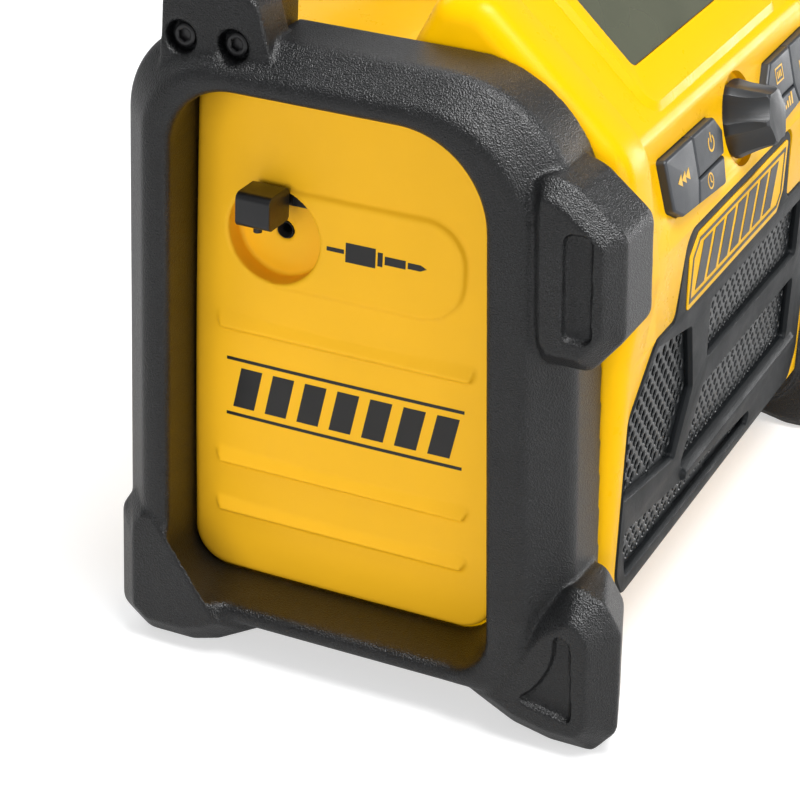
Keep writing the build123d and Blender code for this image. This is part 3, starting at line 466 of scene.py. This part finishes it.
def printMesh(name, shapes, face, lift, thick, lay=None):
    # flat shapes given a little thickness and laid on a face, or on the height that lay gives
    mesh, work = bpy.data.meshes.new(name), bmesh.new()
    for shape in shapes:
        work.faces.new([work.verts.new((u * mm, v * mm, 0)) for u, v in shape])
    bmesh.ops.remove_doubles(work, verts=work.verts, dist=weld["print"])
    grown = bmesh.ops.extrude_face_region(work, geom=work.faces[:])
    for part in grown["geom"]:
        if isinstance(part, bmesh.types.BMVert):
            part.co.z += thick * mm
    for vert in work.verts:
        vert.co.z += lift * mm + (lay(vert.co.x / mm, vert.co.y / mm) * mm if lay else 0)
    bmesh.ops.recalc_face_normals(work, faces=work.faces)
    work.transform(faces[face])
    work.to_mesh(mesh)
    work.free()
    return mesh


# geometry trees
def startTree(name, sockets, result):
    tree = bpy.data.node_groups.new(name, "GeometryNodeTree")
    for title, kind in sockets.items():
        tree.interface.new_socket(title, in_out="INPUT", socket_type="NodeSocket" + kind)
    tree.interface.new_socket(result, in_out="OUTPUT", socket_type="NodeSocketGeometry")
    return tree, addNode(tree, "NodeGroupInput").outputs


def endTree(tree, geometry, finish):
    painted = addNode(tree, "GeometryNodeSetMaterial", {"Geometry": geometry, "Material": finish})
    addNode(tree, "NodeGroupOutput", {0: painted.outputs[0]})
    return tree


def onPoints(tree, points, instance, turn=(0, 0, 0)):
    placed = addNode(tree, "GeometryNodeInstanceOnPoints",
                     {"Points": points, "Instance": instance, "Rotation": turn})
    return addNode(tree, "GeometryNodeRealizeInstances", {0: placed.outputs[0]}).outputs[0]


def joined(tree, *parts):
    join = addNode(tree, "GeometryNodeJoinGeometry")
    for part in parts:
        tree.links.new(part, join.inputs[0])
    return join.outputs[0]


def lowered(tree, geometry, drop):
    down = addNode(tree, "ShaderNodeCombineXYZ", {2: maths(tree, "MULTIPLY", drop, -1.0)}).outputs[0]
    return addNode(tree, "GeometryNodeTransform", {"Geometry": geometry, "Translation": down}).outputs[0]


def placesInside(tree, outline, pitch, rowPitch, margin):
    # staggered places over the outline's box, less those outside the outline or too near its edge
    span = addNode(tree, "GeometryNodeBoundBox", {0: outline}).outputs
    low, high = (addNode(tree, "ShaderNodeSeparateXYZ", {0: span[n]}).outputs for n in ("Min", "Max"))

    def countAlong(axis, step):
        steps = maths(tree, "DIVIDE", maths(tree, "SUBTRACT", high[axis], low[axis]), step)
        return maths(tree, "ADD", maths(tree, "CEIL", steps), 1.0)

    columns, rows = countAlong(0, pitch), countAlong(1, rowPitch)
    index = addNode(tree, "GeometryNodeInputIndex").outputs[0]
    row = maths(tree, "FLOOR", maths(tree, "DIVIDE", index, columns))
    shift = maths(tree, "MULTIPLY", maths(tree, "MODULO", row, 2.0), 0.5)
    column = maths(tree, "ADD", maths(tree, "MODULO", index, columns), shift)
    across = maths(tree, "ADD", low[0], maths(tree, "MULTIPLY", column, pitch))
    up = maths(tree, "ADD", low[1], maths(tree, "MULTIPLY", row, rowPitch))
    spot = addNode(tree, "ShaderNodeCombineXYZ", {0: across, 1: up}).outputs[0]
    count = maths(tree, "MULTIPLY", columns, rows)
    grid = addNode(tree, "GeometryNodePoints", {"Count": count, "Position": spot}).outputs[0]
    # a ray from just above a place misses the outline where the place is outside it
    place = addNode(tree, "GeometryNodeInputPosition").outputs[0]
    above = addNode(tree, "ShaderNodeVectorMath", {0: place, 1: (0, 0, mm)}).outputs[0]
    ray = addNode(tree, "GeometryNodeRaycast", {
        "Target Geometry": outline, "Source Position": above, "Ray Direction": (0, 0, -1),
        "Ray Length": 10 * mm})
    near = addNode(tree, "GeometryNodeProximity", {0: outline}, target_element="EDGES")
    tight = maths(tree, "LESS_THAN", near.outputs["Distance"], margin)
    missed = maths(tree, "SUBTRACT", 1.0, ray.outputs["Is Hit"])
    dropped = maths(tree, "MAXIMUM", tight, missed)
    kept = addNode(tree, "GeometryNodeDeleteGeometry", {"Geometry": grid, "Selection": dropped})
    return kept.outputs[0]


def sheetTree():
    # an outline becomes a sheet with staggered holes, each with a bevelled rim
    tree, given = startTree("perforated_sheet", {
        "Outline": "Geometry", "Pitch": "Float", "Row Pitch": "Float", "Hole Radius": "Float",
        "Rim": "Float", "Thickness": "Float", "Edge Margin": "Float", "Corners": "Int",
        "Finish": "Material",
    }, "Sheet")
    outline, hole, rim, thick, corners = (
        given[n] for n in ("Outline", "Hole Radius", "Rim", "Thickness", "Corners"))
    places = placesInside(tree, outline, given["Pitch"], given["Row Pitch"], given["Edge Margin"])
    loop = addNode(tree, "GeometryNodeMeshToCurve", {0: outline}).outputs[0]
    wide = maths(tree, "ADD", hole, rim)

    def holedFace(radius):
        ring = addNode(tree, "GeometryNodeCurvePrimitiveCircle", {"Resolution": corners, "Radius": radius})
        lines = joined(tree, onPoints(tree, places, ring.outputs[0]), loop)
        return addNode(tree, "GeometryNodeFillCurve", {0: lines}, mode="TRIANGLES").outputs[0]

    def holeWall(top, bottom, deep, drop):
        cone = addNode(tree, "GeometryNodeMeshCone", {
            "Vertices": corners, "Radius Top": top, "Radius Bottom": bottom, "Depth": deep,
        }, fill_type="NONE")
        return lowered(tree, cone.outputs[0], drop)

    below = addNode(tree, "ShaderNodeCombineXYZ", {2: maths(tree, "MULTIPLY", thick, -1.0)}).outputs[0]
    edge = addNode(tree, "GeometryNodeCurveToMesh", {0: loop}).outputs[0]
    sides = addNode(tree, "GeometryNodeExtrudeMesh", {
        "Mesh": edge, "Offset": below, "Offset Scale": 1.0}, mode="EDGES").outputs[0]
    bevel = holeWall(wide, hole, rim, rim)
    bore = holeWall(hole, hole, maths(tree, "SUBTRACT", thick, rim), thick)
    lined = onPoints(tree, places, joined(tree, bevel, bore))
    whole = joined(tree, holedFace(wide), lowered(tree, holedFace(hole), thick), sides, lined)
    sealed = addNode(tree, "GeometryNodeMergeByDistance", {0: whole, "Distance": weld["print"]})
    return endTree(tree, sealed.outputs[0], given["Finish"])


# perforated sheets behind the grille's windows, in millimetres, each with a dark sheet behind it that is
# painted shade in the holes
sheets = {
    "margin": 1.6, "depth": 2.6, "screenDepth": 3.95, "screenThick": 0.2,
    "hexWindow": {"Pitch": 7.0, "Row Pitch": 3.5, "Hole Radius": 1.85, "Rim": 0.4, "Thickness": 1.1,
                  "Edge Margin": 3.6, "Corners": 12},
    "rows": {"Pitch": 5.8, "Row Pitch": 3.4, "Hole Radius": 1.3, "Rim": 0.4, "Thickness": 1.1,
             "Edge Margin": 3.2, "Corners": 16},
}
sheetOutlines = {
    "left_grille_mesh": ((-46.2, 115), (-82.2, 121.5), (-106.2, 105), (-106.2, 74.5), (-52.2, 66.5),
                         (-38.2, 88.5)),
    "upper_grille_mesh": ((-22, 94.5), (88, 94.5), (88, 117), (-24, 117)),
    "middle_grille_mesh": ((-44, 57.5), (88, 57.5), (88, 83), (-24, 83)),
    "lower_grille_mesh": ((-97.5, 40.5), (42, 38.5), (44, 42.5), (-34, 49.5), (-103.5, 59.5)),
}


def makeSheets():
    tree = sheetTree()
    for name, outline in sheetOutlines.items():
        pattern = sheets["hexWindow" if name.startswith("left") else "rows"]
        values = {k: v * mm if isinstance(v, float) else v for k, v in pattern.items()}
        values["Finish"] = finishes["mesh_dark"]
        rim = widened(list(outline), sheets["margin"])
        flat = bpy.data.meshes.new(name)
        flat.from_pydata([(u * mm, v * mm, 0) for u, v in rim], [], [tuple(range(len(rim)))])
        mesh = throughTree(name, flat, tree, values)
        mesh.transform(faces["front"] @ Matrix.Translation((0, 0, -sheets["depth"] * mm)))
        piece = linked(name.replace("mesh", "sheet"), mesh, "radio", finishes["mesh_dark"])
        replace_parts(piece, name)
        # a dark sheet behind the holes: painted shade where the inside of the radio lies in shadow
        screenName = name.replace("mesh", "dust_screen")
        screen = printMesh(screenName, [rim], "front", -sheets["screenDepth"], sheets["screenThick"])
        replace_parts(linked(screenName, screen, "radio", finishes["cone_paper"]), name)
        print(piece.name, len(mesh.polygons), "faces")


makeSheets()


# cages and end panels: mouldings with soft corners everywhere, voxels in millimetres
mouldings = {
    "roll_cage": {"voxel": 0.8, "rounds": 8, "keep": 0.6},
    "end_panel": {"voxel": 0.7, "rounds": 5, "keep": 0.5},
}


def softMoulding(name, voxel, rounds, keep):
    source, work = weldedNode(name)
    bmesh.ops.holes_fill(work, edges=[e for e in work.edges if len(e.link_faces) == 1], sides=0)
    work.to_mesh(source)
    work.free()
    seed = seedOf(name, source)
    even = seed.modifiers.new("even", "REMESH")
    even.mode, even.voxel_size, even.use_smooth_shade = "VOXEL", voxel * mm, True
    soft = seed.modifiers.new("soft", "SMOOTH")
    soft.factor, soft.iterations = 0.5, rounds
    seed.modifiers.new("fewer", "DECIMATE").ratio = keep
    mesh = finished(seed)
    piece = linked(name + "_soft", mesh, "radio", finishes[slotOf[name]])
    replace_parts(piece, name)
    print(piece.name, len(mesh.polygons), "faces")


for mouldingName, mouldingValues in mouldings.items():
    for end in ("left", "right"):
        softMoulding(f"{end}_{mouldingName}", **mouldingValues)


# other mouldings keep their planes and get round edges of this many millimetres
roundEdges = {
    "speaker_grille": 0.8, "front_housing": 0.6, "carry_handle": 0.8, "aux_cover": 1.6,
    "tuning_knob": 0.5, "name_plate": 0.25, "seek_down_key": 0.45, "power_key": 0.45,
    "clock_key": 0.45, "seek_up_key": 0.45, "source_key": 0.45, "preset_key": 0.45,
}
rounding = {"flat": radians(1.0), "sharp": radians(28), "segments": 3}


def softened(name, width):
    source, work = weldedNode(name)
    bmesh.ops.dissolve_limit(work, angle_limit=rounding["flat"], verts=work.verts, edges=work.edges)
    work.to_mesh(source)
    work.free()
    source.shade_smooth()
    seed = seedOf(name, source)
    edges = seed.modifiers.new("edges", "BEVEL")
    edges.width, edges.segments = width * mm, rounding["segments"]
    edges.limit_method, edges.angle_limit = "ANGLE", rounding["sharp"]
    edges.harden_normals = True
    piece = linked(name + "_soft", finished(seed), bodyOf[name], finishes[slotOf[name]])
    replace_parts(piece, name)


for roundName, roundWidth in roundEdges.items():
    softened(roundName, roundWidth)
print("soft edges on", len(roundEdges), "pieces")


# bolts in the handle lugs: dark heads with a hexagonal recess, in millimetres
bolts = {
    "head": 4.0, "recess": 2.3, "tall": 3.0, "deep": 1.9, "round": 0.8, "shoulder": 0.24,
    "chamfer": 0.25, "shank": 1.28, "reach": 25.0, "sides": 36,
    "out": 148.0, "depths": (52.0, 71.0), "height": 226.5,
}


def boltHead():
    # a turned head whose round rim runs into a hexagonal recess
    mesh, work = bpy.data.meshes.new("bolt_head"), bmesh.new()
    radius, count = bolts["head"], bolts["sides"]
    turns = [2 * pi * i / count for i in range(count)]
    rings = [
        (bolts["shank"], -bolts["reach"]), (bolts["shank"], -bolts["tall"]),
        (radius, -bolts["tall"]), (radius, -bolts["round"]),
        (radius - bolts["shoulder"], -bolts["shoulder"]), (radius - bolts["round"], 0),
        (bolts["recess"] + bolts["chamfer"], 0),
    ]
    loops = [[(a * cos(t), a * sin(t), z) for t in turns] for a, z in rings]
    hexagon = [bolts["recess"] * cos(pi / 6) / cos((t % (pi / 3)) - pi / 6) for t in turns]
    for z in (-bolts["chamfer"], -bolts["deep"]):
        loops.append([(a * cos(t), a * sin(t), z) for a, t in zip(hexagon, turns)])
    loops = [[work.verts.new(Vector(spot) * mm) for spot in ring] for ring in loops]
    for a, b in zip(loops, loops[1:]):
        for i in range(count):
            j = (i + 1) % count
            work.faces.new((a[i], a[j], b[j], b[i]))
    work.faces.new(loops[-1])
    work.faces.new(loops[0][::-1])
    bmesh.ops.recalc_face_normals(work, faces=work.faces)
    work.to_mesh(mesh)
    work.free()
    return mesh


def headTree():
    tree, given = startTree("heads_on_points", {
        "Points": "Geometry", "Head": "Object", "Turn": "Vector", "Finish": "Material"}, "Heads")
    head = addNode(tree, "GeometryNodeObjectInfo", {"Object": given["Head"]}).outputs["Geometry"]
    spots = addNode(tree, "GeometryNodeMeshToPoints", {"Mesh": given["Points"]}).outputs[0]
    return endTree(tree, onPoints(tree, spots, head, given["Turn"]), given["Finish"])


def makeHeads():
    tree = headTree()
    head = seedOf("head", boltHead())
    for name, side in (("left_bolt_heads", -1), ("right_bolt_heads", 1)):
        points = bpy.data.meshes.new(name)
        points.from_pydata([(side * bolts["out"] * mm, depth * mm, bolts["height"] * mm)
                            for depth in bolts["depths"]], [], [])
        values = {"Head": head, "Turn": (0, side * pi / 2, 0), "Finish": finishes["soft_black"]}
        mesh = throughTree(name, points, tree, values)
        piece = linked(name, mesh, "radio", finishes["soft_black"])
        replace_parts(piece, "handle_bolts")
    bpy.data.objects.remove(head)


makeHeads()
print("bolt heads made")


# prints stand this thick on what carries them; tops are heights over the face they are laid on
prints = {"thick": 0.12, "lift": 0.02, "keyTop": 3.4, "plateTop": 0.9, "dishTop": 130.8}


# key symbols, laid out on the control face in millimetres
seekKeys = {"size": 4.2, "step": 0.92, "half": 0.46, "out": 70.5, "height": 20.5}
powerKey = {"u": -40, "v": 23.3, "ring": 2.7, "open": (125, 415), "steps": 20,
            "stem": (0.3, 3.9), "line": 0.75}
clockKey = {"u": -46, "v": 11.6, "ring": 2.6, "round": (0, 345), "steps": 22, "line": 0.6,
            "hands": ((0, 1.8), (0, -0.2), (1.3, -0.9)), "hand": 0.55}
sourceKey = {"left": 36.5, "right": 44.5, "low": 21.6, "high": 27, "line": 0.6,
             "bars": 3, "first": 38.2, "step": 1.8, "wide": 1.0, "barLow": 23, "barHigh": 25.6}
presetKey = {"bars": 4, "first": 41.5, "step": 2.7, "wide": 1.5, "low": 10, "shortest": 1.6, "rise": 1.0}


def arrows(way):
    u, v, size = way * seekKeys["out"], seekKeys["height"], seekKeys["size"]
    made = []
    for step in (-1, 0, 1):
        tip, half = u + step * size * seekKeys["step"], way * size * seekKeys["half"]
        made.append([(tip + half, v), (tip - half, v + size * 0.5), (tip - half, v - size * 0.5)][::way])
    return made


def powerSign():
    u, v, line = powerKey["u"], powerKey["v"], powerKey["line"]
    ring = arc(u, v, powerKey["ring"], *powerKey["open"], powerKey["steps"])
    return stroke(ring, line) + stroke([(u, v + end) for end in powerKey["stem"]], line)


def clockSign():
    u, v = clockKey["u"], clockKey["v"]
    ring = arc(u, v, clockKey["ring"], *clockKey["round"], clockKey["steps"])
    hands = [(u + a, v + b) for a, b in clockKey["hands"]]
    return stroke(ring, clockKey["line"], True) + stroke(hands, clockKey["hand"])


def sourceSign():
    box = slanted(sourceKey["left"], sourceKey["right"], sourceKey["low"], sourceKey["high"])
    starts = [sourceKey["first"] + i * sourceKey["step"] for i in range(sourceKey["bars"])]
    return stroke(box, sourceKey["line"], True) + [
        slanted(u, u + sourceKey["wide"], sourceKey["barLow"], sourceKey["barHigh"]) for u in starts]


def presetSign():
    made = []
    for i in range(presetKey["bars"]):
        u = presetKey["first"] + i * presetKey["step"]
        high = presetKey["low"] + presetKey["shortest"] + i * presetKey["rise"]
        made.append(slanted(u, u + presetKey["wide"], presetKey["low"], high))
    return made


# plate and end panel: slanted bars in a thin frame, and between two lines, in millimetres
plateGraphic = {
    "frame": ((-53, 128), (49.5, 128), (53.5, 132.2), (53.5, 150), (-47.5, 150), (-53, 144.6)),
    "line": 1.4, "start": -48.0, "end": 44.0, "bars": 7, "ink": 0.74, "low": 130.6, "high": 147.8,
    "slope": 0.3,
}
panelGraphic = {
    "lines": (105.6, 84.2), "line": 1.2, "overhang": 2.6, "stretch": 9.0, "stretches": 10,
    "start": -61.0, "end": 26.0, "bars": 7, "ink": 0.66, "low": 87.2, "high": 102.6, "slope": 0.2,
}
panelDome = {"radius": 2500, "crown": 130, "middle": -19, "height": 119.75}
# plug symbol: lead, body, collar, sleeve and tip
plug = {
    "lead": ((-26, 155.1), (-23.5, 155.1), (-21.5, 155.1), (-19.6, 155.1)), "leadWide": 1.5,
    "blocks": ((-19, -8, 151.6, 158.6), (-7.2, -5.4, 152.6, 157.6), (-4.6, 3, 153.6, 156.6)),
    "tip": ((3.8, 154), (8.4, 154), (10.6, 155.1), (8.4, 156.2), (3.8, 156.2)),
}


def slantedBars(values):
    step = (values["end"] - values["start"]) / values["bars"]
    starts = [values["start"] + i * step for i in range(values["bars"])]
    return [slanted(u, u + step * values["ink"], values["low"], values["high"], values["slope"])
            for u in starts]


def dome(u, v):
    # how far out the end panel's face is at this place
    radius = panelDome["radius"]
    off = (u - panelDome["middle"]) ** 2 + (v - panelDome["height"]) ** 2
    return panelDome["crown"] - radius + (radius ** 2 - off) ** 0.5


def makeKeySymbols():
    symbols = {
        "seek_down_key": arrows(-1), "power_key": powerSign(), "clock_key": clockSign(),
        "seek_up_key": arrows(1), "source_key": sourceSign(), "preset_key": presetSign(),
    }
    for name, shapes in symbols.items():
        mesh = printMesh(name + "_symbol", shapes, "control", prints["keyTop"] + prints["lift"],
                         prints["thick"])
        linked(name + "_symbol", mesh, name + "_cap", inkYellow)


def makePlateGraphic():
    shapes = stroke(plateGraphic["frame"], plateGraphic["line"], True) + slantedBars(plateGraphic)
    mesh = printMesh("plate_graphic", shapes, "front", prints["plateTop"] + prints["lift"], prints["thick"])
    linked("plate_graphic", mesh, "radio", inkDark)


def makePanelGraphic():
    first = panelGraphic["start"] - panelGraphic["overhang"]
    stops = [first + i * panelGraphic["stretch"] for i in range(panelGraphic["stretches"] + 1)]
    shapes = []
    for v in panelGraphic["lines"]:
        shapes += stroke([(u, v) for u in stops], panelGraphic["line"])
    shapes += slantedBars(panelGraphic)
    mesh = printMesh("panel_graphic", shapes, "socketEnd", prints["lift"], prints["thick"], dome)
    linked("panel_graphic", mesh, "radio", inkDark)


def makePlugSymbol():
    shapes = [slanted(*block) for block in plug["blocks"]] + [plug["tip"]]
    shapes += stroke(plug["lead"], plug["leadWide"])
    mesh = printMesh("plug_pictogram", shapes, "socketEnd", prints["dishTop"] + prints["lift"],
                     prints["thick"])
    linked("plug_pictogram", mesh, "radio", inkDark)


makeKeySymbols()
makePlateGraphic()
makePanelGraphic()
makePlugSymbol()
print("prints made")
